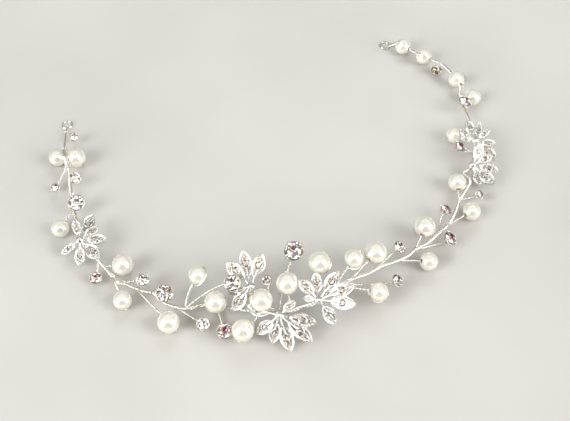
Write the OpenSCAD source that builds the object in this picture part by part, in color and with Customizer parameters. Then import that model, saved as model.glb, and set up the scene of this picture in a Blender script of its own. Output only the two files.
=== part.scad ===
// Hair vine: a stem of twisted wire with forking twigs, drilled pearls, round crystals in
// claw settings and cast leaf sprigs set with small stones. It lies on a flat surface at
// z = 0, bowed towards -Y, with an eye at each end.

/* [Pearls] */
// Diameter of the larger pearls
big_pearl_d = 7; // [6.6:0.1:7.2]
// Diameter of the smaller pearls
small_pearl_d = 6; // [5.4:0.1:6.2]
// Diameter of the hole drilled through each pearl
bore_d = 1.2; // [1.2:0.05:1.4]
// Diameter of the hole in the pearls that are strung on the stem itself
strung_bore_d = 1.5; // [1.4:0.05:1.6]

/* [Wire] */
// Thickness of the main stem, a bundle of twisted strands
stem_d = 1.2; // [0.9:0.1:1.2]
// Thickness of the stem towards its ends, where fewer strands are left
stem_end_d = 0.8; // [0.7:0.05:0.85]
// Thickness of a twig, two strands twisted together
twig_d = 0.7; // [0.5:0.05:0.75]
// Clear diameter of the eye at each end
eye_bore_d = 2.8; // [2.4:0.1:3.2]
// Thickness of the wire ring that forms an eye
eye_wire_d = 0.6; // [0.5:0.05:0.7]

/* [Crystals] */
// Diameters over the claws of the five crystal sizes
crystal_sizes = [3.4, 4.4, 5.4, 6, 6.8];
// Number of claws on a setting
claws = 4; // [3:1:6]

/* [Leaves] */
// Widest part of a leaflet
leaflet_w = 4.2; // [3.6:0.1:4.4]
// Thickness of a leaflet over its rim
leaflet_t = 0.9; // [0.8:0.1:1.1]
// Width of the raised rim of the widest leaflet
rim_w = 0.45; // [0.35:0.05:0.55]
// Depth of the floor inside the rim
rim_h = 0.4; // [0.3:0.05:0.5]
// Diameter of the main stone in a leaflet
leaf_stone_d = 2.2; // [1.8:0.1:2.3]
// Diameter of the small stone nearer its tip
tip_stone_d = 1.2; // [1:0.1:1.3]

/* [Hidden] */
$fn = 32;
up = [0, 0, 1];
// Clearance between a tube's end and the piece that it reaches
seat_gap = 0.15;
// Sides of the stem and of a twig, and rings in each span of the stem and in each twig
stem_sides = 8;
twig_sides = 6;
span_rings = 2;
twig_rings = 5;
// Steps from the middle of a leaflet's edge to its point
oval_steps = 6;

// Main stem from the left eye to the right one, a station in each row: x, y, z
stem = [
    [-76.2, 49.5, 0.5], [-76, 46.5, 1.4], [-75.5, 41, 3], [-75, 36, 4.5], [-74, 31, 6.3],
    [-73.5, 28, 4.5], [-72.5, 26, 3], [-72, 21, 2.4], [-71, 17, 2.4], [-70, 11.5, 2.4],
    [-68.5, 6.5, 3], [-67, 1.5, 3.3], [-65.5, -3, 3.3], [-63.5, -8, 3], [-60, -10.5, 3],
    [-58, -13, 3], [-55, -17, 3], [-53, -19.5, 3.2], [-50.5, -20.5, 3.4], [-47, -22.5, 3.4],
    [-44, -23.5, 3], [-41, -24.5, 2.6], [-38.5, -27.5, 2.8], [-35, -29.5, 3], [-32, -30.5, 3.5],
    [-29.5, -30.5, 3.8], [-26.5, -29, 2.6], [-23, -28.5, 1.6], [-18.5, -30.5, 2.4], [-14, -32, 3],
    [-10, -33, 3], [-6, -33.5, 4], [-3.5, -35, 5.2], [0, -35.5, 6.8], [3, -35, 8],
    [6, -35, 9], [8.5, -34, 9.3], [12, -31.5, 9.6], [15.5, -29.5, 10], [18.5, -28, 10.5],
    [22, -26.5, 10.2], [24.5, -25.5, 10], [27, -24, 9.8], [29.5, -22.5, 9.2], [33, -21, 8.5],
    [37.5, -18, 7], [40, -15.5, 6.2], [45, -12, 5.2], [48.5, -8.5, 4.5], [52, -5, 4],
    [54, -2, 3.5], [56, 2, 3.2], [57.5, 5.5, 3], [59.2, 8, 3.2], [61.5, 11.5, 3.4],
    [62, 14, 3.4], [60.5, 16.5, 3.4], [62.5, 18, 3.3], [64.5, 21.5, 3.3],
    [65.5, 26, 3.3], [66.5, 30, 3.3], [66.5, 36, 3.3], [66, 42, 3], [65.5, 47, 2.4], [65, 52.5, 2.6], [65.5, 57, 3.1],
    [64.5, 60, 3.5], [62.8, 63.6, 3.9], [59.8, 68, 4.2], [57.4, 70.5, 3.4], [54.5, 73, 3],
    [51, 76, 3], [47.5, 79, 3], [45, 81.1, 2.6], [42.8, 82.2, 0.5]
];
// Stations where one stretch of the stem ends under a leaf sprig and the next begins
stretches = [0, 12, 36, 57, 74];
// Half the gap between two stretches, in stations
joint = 0.08;
// Number of stations over which the stem thins out, from the left end and from the right
thin_left = 6;
thin_right = 16;

// Pearls: x, y, height of its lowest point, 1 if large, station its twig leaves (or that
// it is strung on), sideways bow of the twig, 1 if strung on the stem itself
pearls = [
    [-77.5, 33.5, 0, 0, 3, 0, 0],
    [-71, 32.5, 0, 1, 3, 0, 0],
    [-73.5, 3, 0, 0, 9, 0.5, 0],
    [-52, -13.5, 0.5, 1, 15, 0, 0],
    [-51.5, -26, 0, 0, 16, 0.5, 0],
    [-37, -35, 0, 1, 19, 0.5, 0],
    [-27.5, -23, 7, 0, 24, 1, 0],
    [-22.5, -30.5, 2.7, 1, 26, 0, 0],
    [-14.5, -40, 1.3, 1, 30, 0.5, 0],
    [-8.5, -34, 8, 1, 31, -1.5, 0],
    [-0.5, -29, 8.5, 1, 33, 0, 0],
    [9.5, -23, 9.5, 1, 36, 0, 0],
    [20, -21.5, 9, 0, 37, 0, 0],
    [27, -19, 7.5, 1, 39, 0, 0],
    [27, -30, 3, 0, 38, 0, 0],
    [44, -18, 0, 0, 44, 0.5, 0],
    [44, -7, 2.8, 1, 46, 0, 0],
    [60.5, 0.5, 0, 0, 49, 0, 0],
    [57.5, 12.5, 0.5, 0, 52, 0, 0],
    [60, 33.5, 0.3, 0, 61, 0, 0],
    [69, 51, 0, 0, 64, 0, 0],
    [64.5, 60, 0.5, 0, 66, 0, 1],
    [54.5, 73, 0, 0, 70, 0, 1],
    [47.5, 79, 0, 0, 72, 0, 1]
];

// Crystals: x, y, z of the girdle's middle, size, station its twig leaves, sideways bow of
// the twig, azimuth and elevation that the table faces
crystals = [
    [-72.5, 42.5, 3.5, 0, 1, 0, -90, 60],
    [-77, 20.5, 3, 0, 5, 0, -90, 60],
    [-70, 22.5, 5, 1, 6, 0, -60, 60],
    [-68.5, 11, 6, 3, 8, 0, -80, 60],
    [-60.5, -17, 3, 1, 14, 0, -90, 65],
    [-45, -20.5, 5.5, 1, 17, 0, -60, 60],
    [-38, -26.5, 6.5, 3, 21, 0, -70, 60],
    [-26.5, -36, 3, 1, 23, 0, -60, 50],
    [-20, -38.8, 3.2, 2, 27, 0, -90, 70],
    [-17, -28, 12.5, 2, 24, 8, -90, 60],
    [-6.5, -27.5, 12, 0, 31, 0, -90, 50],
    [2, -18.5, 14, 4, 32, 4, -100, 70],
    [35, -16, 9, 1, 42, -1, 0, 50],
    [33.5, -25.5, 5, 1, 38, 1, 0, 40],
    [52, 0, 6, 1, 48, 0, 40, 45],
    [52, -10.5, 4.5, 2, 46, 0, 10, 40],
    [64.5, 7, 3.5, 0, 52, 0, 0, 30],
    [60.5, 25.7, 6.5, 1, 59, 0, 20, 45],
    [65.5, 46.5, 6.2, 2, 63, 0, 30, 50],
    [58.6, 67, 1.5, 1, 68, 0, 60, -75]
];

// Leaf sprigs: the hub; the azimuth and elevation that the sprig faces and the station that
// its own twig leaves (-1 if it sits on the stem itself); then its leaflets, each as the
// offset of its tip from the hub: x, y, z
sprigs = [
    [[-66, -3.8, 5.3], [-90, 75, -1],
        [[-0.5, 3, 7], [3.5, 9.5, 0.5], [6, 4, 1.5], [8.5, -0.5, 0.5], [7, -7.5, -0.5],
         [0, -7.8, -3.2], [-6, -3.5, -2.5]]],
    [[-11.5, -28, 10], [-90, 60, 29],
        [[-6, -4.5, -6], [-7.5, 0.5, -5], [-5.5, -0.5, -1.8], [-7, 7.5, 3],
         [-2, 10.5, 4], [4, 9, 4]]],
    [[-3.5, -37.5, 8], [-90, 60, 32],
        [[5, 4, 1.5], [11, -1.5, -3], [9.5, -6, -6], [3, -8.5, -7], [-2.5, -5.5, -6.5],
         [-7, -3, -5], [-9.6, 5.7, -3]]],
    [[8.5, -35, 11.5], [-90, 60, -1],
        [[-4.5, 1.5, -1], [-5.5, 6, 2.5], [-0.5, 8, 2.5], [6.5, 8.5, 1.5], [11, 5, -0.5],
         [11, 0.5, -4.5], [4.5, -4, -7.5]]],
    [[63.3, 18, 5.4], [-60, 60, -1],
        [[3.5, 6, 3.5], [7, 2.5, 1.5], [8.3, -2.5, -0.5], [6.5, -7.5, -2], [2, -6.5, -3.5]]],
    [[66, 28.5, 5.4], [-60, 60, -1],
        [[-5, 1, 0.5], [-5, 4.5, 1.5], [-2, 7.5, 2.5], [2.5, 7, 1.5], [5, 2.5, 2.5],
         [6.5, -2.5, 0.5], [6.5, -6.5, -3]]]
];
// Middle of the vine in the photograph's frame of the tables, brought to the origin
middle = [-3.9, 19.35, 0];

function unit(v) = v / norm(v);
function facing(azimuth, elevation) =
    [cos(azimuth) * cos(elevation), sin(azimuth) * cos(elevation), sin(elevation)];

// A point of the smooth curve through the stations, at a fractional station
function on_stem(s) =
    let (
        i = min(floor(s), len(stem) - 2),
        t = s - i,
        a = stem[max(i - 1, 0)],
        b = stem[i],
        c = stem[i + 1],
        d = stem[min(i + 2, len(stem) - 1)]
    )
    0.5 * (2 * b + (c - a) * t + (2 * a - 5 * b + 4 * c - d) * t ^ 2
        + (3 * b - a - 3 * c + d) * t ^ 3);
function along_stem(s) = unit(on_stem(s + 0.05) - on_stem(s - 0.05));
function stem_r(s) =
    let (full = min(1, s / thin_left, (len(stem) - 1 - s) / thin_right))
    (stem_end_d + (stem_d - stem_end_d) * full) / 2;

// Bores, seats and pearls
function pearl_r(p) = (p[3] == 1 ? big_pearl_d : small_pearl_d) / 2;
function pearl_at(p) = [p[0], p[1], p[2] + pearl_r(p)];
function between(a, b, bow) =
    let (side = unit(cross(up, b - a)))
    (a + b) / 2 + bow * side;
function pearl_axis(p) =
    p[6] == 1 ? along_stem(p[4])
    : unit(pearl_at(p) - between(stem[p[4]], pearl_at(p), p[5]));
function crystal_at(c) = [c[0], c[1], c[2]];
function crystal_d(c) = crystal_sizes[c[3]];
function crystal_facing(c) = facing(c[6], c[7]);

// Proportions of a crystal and of its setting, as shares of the diameter over the claws
stone_r = 0.39;
table_r = 0.22;
crown_h = 0.12;
girdle_t = 0.02;
pavilion_h = 0.3;
cup_r = 0.45;
cup_foot_r = 0.24;
cup_h = 0.4;
cup_gap = 0.02;
claw_r = 0.04;
claw_at = 0.445;
claw_tip_r = 0.055;
claw_tip_at = 0.405;
claw_tip_z = 0.085;

hub_r = 1.3;

// A closed tube through the path, with its radius at each point
module tube(path, radii, sides) {
    last = len(path) - 1;
    span = path[last] - path[0];
    ref = abs(unit(span).z) > 0.8 ? [1, 0, 0] : up;
    rings = [for (i = [0 : last])
        let (
            dir = unit(path[min(i + 1, last)] - path[max(i - 1, 0)]),
            side = unit(cross(dir, ref)),
            top = cross(side, dir)
        )
        for (k = [0 : sides - 1])
            path[i] + radii[i] * (cos(360 * k / sides) * side + sin(360 * k / sides) * top)];
    walls = [for (i = [0 : last - 1], k = [0 : sides - 1])
        let (
            a = i * sides + k,
            b = i * sides + (k + 1) % sides
        )
        each [[a, b, a + sides], [b, b + sides, a + sides]]];
    caps = [[for (k = [sides - 1 : -1 : 0]) k],
        [for (k = [0 : sides - 1]) last * sides + k]];
    polyhedron(points = rings, faces = concat(walls, caps));
}

function bezier(a, b, c, t) = (1 - t) ^ 2 * a + 2 * t * (1 - t) * b + t ^ 2 * c;

// A twig from the stem through a pearl, to just past its far side
module pearl_twig(p) {
    start = stem[p[4]];
    axis = pearl_axis(p);
    near = pearl_at(p) - axis * (pearl_r(p) + 0.3);
    far = pearl_at(p) + axis * (pearl_r(p) + 0.4);
    bend = near - axis * norm(near - start) / 2;
    path = concat([for (i = [0 : twig_rings - 1]) bezier(start, bend, near, i / (twig_rings - 1))],
        [far]);
    tube(path, [for (q = path) twig_d / 2], twig_sides);
}

// A twig from the stem to the back of a crystal's setting, which it meets from behind
module crystal_twig(c) {
    start = stem[c[4]];
    back = crystal_at(c) - crystal_facing(c) * (cup_h * crystal_d(c) + twig_d / 2 + seat_gap);
    behind = between(start, back, c[5]) * 0.4
        + (back - crystal_facing(c) * 0.3 * norm(back - start)) * 0.6;
    bend = [behind.x, behind.y, max(behind.z, twig_d)];
    path = [for (i = [0 : twig_rings - 1]) bezier(start, bend, back, i / (twig_rings - 1))];
    tube(path, [for (q = path) twig_d / 2], twig_sides);
}

// A twig from the stem to just under a leaf sprig's hub
module sprig_twig(s) {
    start = stem[s[1][2]];
    end = s[0] - [0, 0, hub_r + seat_gap + twig_d / 2];
    tube([start, (start + end) / 2, end], [for (i = [0 : 2]) twig_d / 2], twig_sides);
}

// The ring at one end of the stem, lying flat
module eye(station, neighbour) {
    ring_r = (eye_bore_d + eye_wire_d) / 2;
    away = unit([for (k = [0 : 1]) stem[station][k] - stem[neighbour][k]]);
    middle = stem[station] + (ring_r + 0.05) * [away.x, away.y, 0];
    translate([middle.x, middle.y, eye_wire_d / 2])
        rotate_extrude()
            translate([ring_r, 0])
                circle(d = eye_wire_d);
}

// One stretch of the stem, with the twigs that leave it
module wire(k) {
    first = stretches[k] + (k > 0 ? joint : 0);
    last = stretches[k + 1] - (k < 3 ? joint : 0);
    steps = round((last - first) * span_rings);
    stations = [for (i = [0 : steps]) first + (last - first) * i / steps];
    color("silver") {
        tube([for (s = stations) on_stem(s)], [for (s = stations) stem_r(s)], stem_sides);
        for (p = pearls)
            if (p[6] == 0 && p[4] >= first && p[4] < last) pearl_twig(p);
        for (c = crystals)
            if (c[4] >= first && c[4] < last) crystal_twig(c);
        for (s = sprigs)
            if (s[1][2] >= first && s[1][2] < last) sprig_twig(s);
        if (k == 0) eye(0, 1);
        if (k == 3) eye(len(stem) - 1, len(stem) - 2);
    }
}

module pearl(p) {
    color("ivory")
        aim(pearl_at(p), pearl_axis(p), up)
            rotate([0, 90, 0])
                difference() {
                    sphere(pearl_r(p));
                    cylinder(h = 3 * pearl_r(p), d = p[6] == 1 ? strung_bore_d : bore_d,
                        center = true);
                }
}

// Places children so that their x axis lies along dir and their z axis leans towards top
module aim(at, dir, top) {
    x = unit(dir);
    y = unit(cross(abs(x * unit(top)) > 0.99 ? [1, 0, 0] : top, x));
    z = cross(x, y);
    multmatrix([[x.x, y.x, z.x, at.x], [x.y, y.y, z.y, at.y], [x.z, y.z, z.z, at.z]])
        children();
}

// Round brilliant of unit girdle radius: table, stars, kites, girdle and pavilion
module cut_stone(d, table, crown, girdle, pavilion) {
    r = d / 2;
    function around(radius, z, steps, turn) =
        [for (k = [0 : steps - 1]) [radius * cos(360 * (k + turn) / steps),
            radius * sin(360 * (k + turn) / steps), z]];
    shoulder_r = table + (r - table) * 0.55;
    points = concat(
        around(table, crown, 8, 0),
        around(shoulder_r, crown * 0.52, 8, 0.5),
        around(r, 0, 16, 0),
        around(r, -girdle, 16, 0),
        [[0, 0, -girdle - pavilion]]
    );
    shoulder = 8;
    girdle_top = 16;
    girdle_low = 32;
    culet = 48;
    faces = concat(
        [[for (k = [7 : -1 : 0]) k]],
        [for (k = [0 : 7]) [k, (k + 1) % 8, shoulder + k]],
        [for (k = [0 : 7]) each [
            [k, shoulder + k, girdle_top + 2 * k],
            [k, girdle_top + 2 * k, shoulder + (k + 7) % 8],
            [shoulder + k, girdle_top + 2 * k + 1, girdle_top + 2 * k],
            [shoulder + k, girdle_top + (2 * k + 2) % 16, girdle_top + 2 * k + 1]]],
        [for (k = [0 : 15]) each [
            [girdle_top + k, girdle_top + (k + 1) % 16, girdle_low + k],
            [girdle_top + (k + 1) % 16, girdle_low + (k + 1) % 16, girdle_low + k],
            [girdle_low + k, girdle_low + (k + 1) % 16, culet]]]
    );
    polyhedron(points = points, faces = faces);
}

module crystal(c) {
    d = crystal_d(c);
    color("lightgray")
        aim(crystal_at(c), crystal_facing(c), up)
            rotate([0, 90, 0])
                cut_stone(2 * stone_r * d, table_r * d, crown_h * d, girdle_t * d, pavilion_h * d);
}

// A cup that holds the stone's back, with claws that reach over its edge
module setting(c) {
    d = crystal_d(c);
    inner = stone_r + cup_gap;
    aim(crystal_at(c), crystal_facing(c), up)
        rotate([0, 90, 0]) {
            rotate_extrude()
                polygon(d * [[0, -cup_h], [cup_foot_r, -cup_h], [cup_r, -0.14], [cup_r, -0.03],
                    [inner, -0.03], [inner, -0.06], [0.06, -cup_h + 0.04], [0, -cup_h + 0.04]]);
            for (k = [0 : claws - 1])
                rotate([0, 0, 360 * (k + 0.5) / claws]) {
                    translate([claw_at * d, 0, -0.2 * d])
                        cylinder(h = 0.26 * d, r = claw_r * d);
                    translate([claw_tip_at, 0, claw_tip_z] * d)
                        sphere(claw_tip_r * d);
                }
        }
}

module settings(from, to) {
    color("silver")
        for (i = [from : to]) setting(crystals[i - 1]);
}

// A pointed oval: two arcs that meet at its ends
module oval(length, width) {
    arc_r = (length ^ 2 + width ^ 2) / (4 * width);
    side = [for (i = [-oval_steps : oval_steps])
        let (x = i * length / (2 * oval_steps))
        [x, sqrt(arc_r ^ 2 - x ^ 2) - arc_r + width / 2]];
    polygon(concat(side, [for (i = [len(side) - 2 : -1 : 1]) [side[i].x, -side[i].y]]));
}

// Sizes of a leaflet from the offset of its tip
function blade_l(tip) = 0.74 * norm(tip);
function blade_w(tip) = min(leaflet_w, 0.56 * blade_l(tip));
function rim(tip) = rim_w * blade_w(tip) / leaflet_w;
function main_stone_d(tip) = leaf_stone_d * blade_w(tip) / leaflet_w;
function small_stone_d(tip) = tip_stone_d * blade_w(tip) / leaflet_w;
function small_stone_x(tip) = (main_stone_d(tip) + small_stone_d(tip)) / 2 + 0.15;
floor_z = leaflet_t / 2 - rim_h;
stalk_w = 0.9;
stalk_h = 0.75;

// One leaflet: a stalk and a pointed blade with a raised rim and two open seats
module leaflet(tip) {
    l = blade_l(tip);
    w = blade_w(tip);
    middle = norm(tip) - l / 2;
    translate([0, -stalk_w / 2, -stalk_h / 2])
        cube([middle - l / 2 + 1.2, stalk_w, stalk_h]);
    translate([middle, 0, 0])
        difference() {
            translate([0, 0, -leaflet_t / 2])
                linear_extrude(leaflet_t) oval(l, w);
            translate([0, 0, floor_z])
                linear_extrude(leaflet_t) oval(l - 2.4 * rim(tip) * l / w, w - 2 * rim(tip));
            cylinder(h = 3 * leaflet_t, d = 0.9 * main_stone_d(tip), center = true, $fn = 12);
            translate([small_stone_x(tip), 0, 0])
                cylinder(h = 3 * leaflet_t, d = 0.9 * small_stone_d(tip), center = true, $fn = 12);
        }
}

module leaf_sprig(s) {
    color("gainsboro") {
        translate(s[0]) sphere(hub_r, $fn = 12);
        for (tip = s[2])
            aim(s[0], tip, facing(s[1][0], s[1][1])) leaflet(tip);
    }
}

// A small stone: a table, eight crown facets and a pointed back
module leaf_stone(d) {
    function octagon(r, z) = [for (k = [0 : 7]) [r * cos(45 * k), r * sin(45 * k), z]];
    translate([0, 0, floor_z + 0.12 * d])
        polyhedron(
            points = concat(octagon(0.28 * d, 0.17 * d), octagon(0.5 * d, 0), [[0, 0, -0.3 * d]]),
            faces = concat(
                [[for (k = [7 : -1 : 0]) k]],
                [for (k = [0 : 7]) each [
                    [k, (k + 1) % 8, 8 + (k + 1) % 8, 8 + k],
                    [8 + k, 8 + (k + 1) % 8, 16]]]
            )
        );
}

module leaf_stones(from, to) {
    color("white")
        for (i = [from : to], tip = sprigs[i - 1][2])
            aim(sprigs[i - 1][0], tip, facing(sprigs[i - 1][1][0], sprigs[i - 1][1][1]))
                translate([norm(tip) - blade_l(tip) / 2, 0, 0]) {
                    leaf_stone(main_stone_d(tip));
                    translate([small_stone_x(tip), 0, 0]) leaf_stone(small_stone_d(tip));
                }
}

module placed() {
    translate(-middle) children();
}

for (i = [1 : len(pearls)])
    placed() pearl(pearls[i - 1]);
for (i = [1 : len(crystals)])
    placed() crystal(crystals[i - 1]);
for (i = [1 : len(sprigs)])
    placed() leaf_sprig(sprigs[i - 1]);
placed() leaf_stones(1, 2);  // leaf_stones_left
placed() leaf_stones(3, 4);  // leaf_stones_front
placed() leaf_stones(5, 6);  // leaf_stones_right
placed() settings(1, 6);  // settings_left
placed() settings(7, 12);  // settings_front
placed() settings(13, 20);  // settings_right
placed() wire(0);  // wire_left
placed() wire(1);  // wire_front
placed() wire(2);  // wire_side
placed() wire(3);  // wire_right
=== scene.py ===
import math
import bpy
import numpy as np
from mathutils import Matrix, Vector


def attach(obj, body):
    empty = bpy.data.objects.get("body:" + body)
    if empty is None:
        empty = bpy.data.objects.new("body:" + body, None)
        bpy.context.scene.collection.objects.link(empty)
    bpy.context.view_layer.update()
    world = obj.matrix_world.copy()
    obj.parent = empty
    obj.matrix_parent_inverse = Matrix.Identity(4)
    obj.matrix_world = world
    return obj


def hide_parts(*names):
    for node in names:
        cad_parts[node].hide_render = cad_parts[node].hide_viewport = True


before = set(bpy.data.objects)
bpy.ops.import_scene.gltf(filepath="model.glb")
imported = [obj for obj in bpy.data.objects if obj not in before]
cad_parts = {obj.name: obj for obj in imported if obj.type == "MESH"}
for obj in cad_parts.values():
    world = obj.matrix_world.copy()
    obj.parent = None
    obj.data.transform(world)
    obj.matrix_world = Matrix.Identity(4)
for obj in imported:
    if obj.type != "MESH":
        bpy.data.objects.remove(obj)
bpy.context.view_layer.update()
print("frame loaded:", len(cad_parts), "nodes")

# The tables are in millimetres, in the frame of the part's source before it is centred
tableMiddle = np.array([-3.9, 19.35, 0.0])
worldUp = np.array([0.0, 0.0, 1.0])

# Main stem, a station in each row: x, y, z
stemStations = np.array([
    (-76.2, 49.5, 0.5), (-76, 46.5, 1.4), (-75.5, 41, 3), (-75, 36, 4.5), (-74, 31, 6.3),
    (-73.5, 28, 4.5), (-72.5, 26, 3), (-72, 21, 2.4), (-71, 17, 2.4), (-70, 11.5, 2.4),
    (-68.5, 6.5, 3), (-67, 1.5, 3.3), (-65.5, -3, 3.3), (-63.5, -8, 3), (-60, -10.5, 3),
    (-58, -13, 3), (-55, -17, 3), (-53, -19.5, 3.2), (-50.5, -20.5, 3.4), (-47, -22.5, 3.4),
    (-44, -23.5, 3), (-41, -24.5, 2.6), (-38.5, -27.5, 2.8), (-35, -29.5, 3), (-32, -30.5, 3.5),
    (-29.5, -30.5, 3.8), (-26.5, -29, 2.6), (-23, -28.5, 1.6), (-18.5, -30.5, 2.4), (-14, -32, 3),
    (-10, -33, 3), (-6, -33.5, 4), (-3.5, -35, 5.2), (0, -35.5, 6.8), (3, -35, 8),
    (6, -35, 9), (8.5, -34, 9.3), (12, -31.5, 9.6), (15.5, -29.5, 10), (18.5, -28, 10.5),
    (22, -26.5, 10.2), (24.5, -25.5, 10), (27, -24, 9.8), (29.5, -22.5, 9.2), (33, -21, 8.5),
    (37.5, -18, 7), (40, -15.5, 6.2), (45, -12, 5.2), (48.5, -8.5, 4.5), (52, -5, 4),
    (54, -2, 3.5), (56, 2, 3.2), (57.5, 5.5, 3), (59.2, 8, 3.2), (61.5, 11.5, 3.4),
    (62, 14, 3.4), (60.5, 16.5, 3.4), (62.5, 18, 3.3), (64.5, 21.5, 3.3), (65.5, 26, 3.3),
    (66.5, 30, 3.3), (66.5, 36, 3.3), (66, 42, 3), (65.5, 47, 2.4), (65, 52.5, 2.6),
    (65.5, 57, 3.1), (64.5, 60, 3.5), (62.8, 63.6, 3.9), (59.8, 68, 4.2), (57.4, 70.5, 3.4),
    (54.5, 73, 3), (51, 76, 3), (47.5, 79, 3), (45, 81.1, 2.6), (42.8, 82.2, 0.5),
])
stretchEnds = [0, 12, 36, 57, 74]
stretchNames = ["left", "front", "side", "right"]

# Pearls: x, y, height of the lowest point, 1 if large, station, bow, 1 if strung on the
# stem, and the way that the returning strand leans: x, y, z
pearlTable = [
    (-77.5, 33.5, 0, 0, 3, 0, 0, (0, 0.6, -0.8)),
    (-71, 32.5, 0, 1, 3, 0, 0, (0, 0.6, -0.8)),
    (-73.5, 3, 0, 0, 9, 0.5, 0, (0, 0.6, -0.8)),
    (-52, -13.5, 0.5, 1, 15, 0, 0, (0, 0.6, -0.8)),
    (-51.5, -26, 0, 0, 16, 0.5, 0, (0, 0.6, -0.8)),
    (-37, -35, 0, 1, 19, 0.5, 0, (0, 0.6, -0.8)),
    (-27.5, -23, 7, 0, 24, 1, 0, (0.7, 0.3, 0.6)),
    (-22.5, -30.5, 2.7, 1, 26, 0, 0, (0, 0.6, -0.8)),
    (-14.5, -40, 1.3, 1, 30, 0.5, 0, (0.6, -0.2, -0.6)),
    (-8.5, -34, 8, 1, 31, -1.5, 0, (0, 0.6, -0.8)),
    (-0.5, -29, 8.5, 1, 33, 0, 0, (0, 0.6, -0.8)),
    (9.5, -23, 9.5, 1, 36, 0, 0, (0.75, 0.5, 0.4)),
    (20, -21.5, 9, 0, 37, 0, 0, (0.1, -0.8, -0.6)),
    (27, -19, 7.5, 1, 39, 0, 0, (0, 0.6, -0.8)),
    (27, -30, 3, 0, 38, 0, 0, (0.5, -0.5, -0.6)),
    (44, -18, 0, 0, 44, 0.5, 0, (0, 0.6, -0.8)),
    (44, -7, 2.8, 1, 46, 0, 0, (-0.6, 0.2, -0.3)),
    (60.5, 0.5, 0, 0, 49, 0, 0, (0.2, 0.2, -0.9)),
    (57.5, 12.5, 0.5, 0, 52, 0, 0, (0.75, -0.6, 0.1)),
    (60, 33.5, 0.3, 0, 61, 0, 0, (0, 0.6, -0.8)),
    (69, 51, 0, 0, 64, 0, 0, (0, 0.6, -0.8)),
    (64.5, 60, 0.5, 0, 66, 0, 1, (0.8, -0.2, 0.1)),
    (54.5, 73, 0, 0, 70, 0, 1, (-0.2, -0.6, 0.8)),
    (47.5, 79, 0, 0, 72, 0, 1, (0.2, -0.6, 0.8)),
]

# Crystals: x, y, z, size, station, bow, azimuth and elevation of the table, turn of the claws
crystalTable = [
    (-72.5, 42.5, 3.5, 0, 1, 0, -90, 60, 45),
    (-77, 20.5, 3, 0, 5, 0, -90, 60, 30),
    (-70, 22.5, 5, 1, 6, 0, -60, 60, 60),
    (-68.5, 11, 6, 3, 8, 0, -80, 60, 20),
    (-60.5, -17, 3, 1, 14, 0, -90, 65, 50),
    (-45, -20.5, 5.5, 1, 17, 0, -60, 60, 40),
    (-38, -26.5, 6.5, 3, 21, 0, -70, 60, 45),
    (-26.5, -36, 3, 1, 23, 0, -60, 50, 30),
    (-20, -38.8, 3.2, 2, 27, 0, -90, 70, 45),
    (-17, -28, 12.5, 2, 24, 8, -90, 60, 35),
    (-6.5, -27.5, 12, 0, 31, 0, -90, 50, 60),
    (2, -18.5, 14, 4, 32, 4, -100, 70, 45),
    (35, -16, 9, 1, 42, -1, -21, 58, 20),
    (33.5, -25.5, 5, 1, 38, 1, -18, 50, 45),
    (52, 0, 6, 1, 48, 0, 21, 60, 50),
    (52, -10.5, 4.5, 2, 46, 0, -8, 52, 45),
    (64.5, 7, 3.5, 0, 52, 0, -16, 42, 30),
    (60.5, 25.7, 6.5, 1, 59, 0, 0, 57, 55),
    (65.5, 46.5, 6.2, 2, 63, 0, 8, 63, 45),
    (58.6, 67, 1.5, 1, 68, 0, 60, -75, 40),
]

# Leaf sprigs: hub, (azimuth and elevation of the front, station of its own twig or -1 where it sits
# on the stem), offsets of the leaflets' tips from the hub
sprigTable = [
    ((-66, -3.8, 5.3), (-90, 75, -1), [(-0.5, 3, 7), (3.5, 9.5, 0.5), (6, 4, 1.5), (8.5, -0.5, 0.5),
     (7, -7.5, -0.5), (0, -7.8, -3.2), (-6, -3.5, -2.5)]),
    ((-11.5, -28, 10), (-90, 60, 29), [(-6, -4.5, -6), (-7.5, 0.5, -5), (-5.5, -0.5, -1.8), (-7, 7.5, 3),
     (-2, 10.5, 4), (4, 9, 4)]),
    ((-3.5, -37.5, 8), (-90, 60, 32), [(5, 4, 1.5), (11, -1.5, -3), (9.5, -6, -6), (3, -8.5, -7),
     (-2.5, -5.5, -6.5), (-7, -3, -5), (-9.6, 5.7, -3)]),
    ((8.5, -35, 11.5), (-90, 60, -1), [(-4.5, 1.5, -1), (-5.5, 6, 2.5), (-0.5, 8, 2.5), (6.5, 8.5, 1.5),
     (11, 5, -0.5), (11, 0.5, -4.5), (4.5, -4, -7.5)]),
    ((63.3, 18, 5.4), (-60, 60, -1), [(3.5, 6, 3.5), (7, 2.5, 1.5), (8.3, -2.5, -0.5), (6.5, -7.5, -2),
     (2, -6.5, -3.5)]),
    ((66, 28.5, 5.4), (-60, 60, -1), [(-5, 1, 0.5), (-5, 4.5, 1.5), (-2, 7.5, 2.5), (2.5, 7, 1.5),
     (5, 2.5, 2.5), (6.5, -2.5, 0.5), (6.5, -6.5, -3)]),
]
sprigStations = [12, 29, 32, 36, 57, 60]
pieceGroups = {"left": (range(0, 6), range(0, 2)), "front": (range(6, 12), range(2, 4)),
               "right": (range(12, 20), range(4, 6))}


# ---- small vector helpers, all on arrays of millimetres

def unit(v):
    v = np.asarray(v, float)
    return v / np.linalg.norm(v)


def facing(azimuth, elevation):
    a, e = math.radians(azimuth), math.radians(elevation)
    return np.array([math.cos(a) * math.cos(e), math.sin(a) * math.cos(e), math.sin(e)])


def square(direction, towards):
    # the part of one direction that stands square to another
    towards = np.asarray(towards, float)
    rest = towards - direction * np.dot(towards, direction)
    if np.linalg.norm(rest) < 1e-6:
        rest = np.cross(direction, [1.0, 0.0, 0.0])
    return unit(rest)


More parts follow.
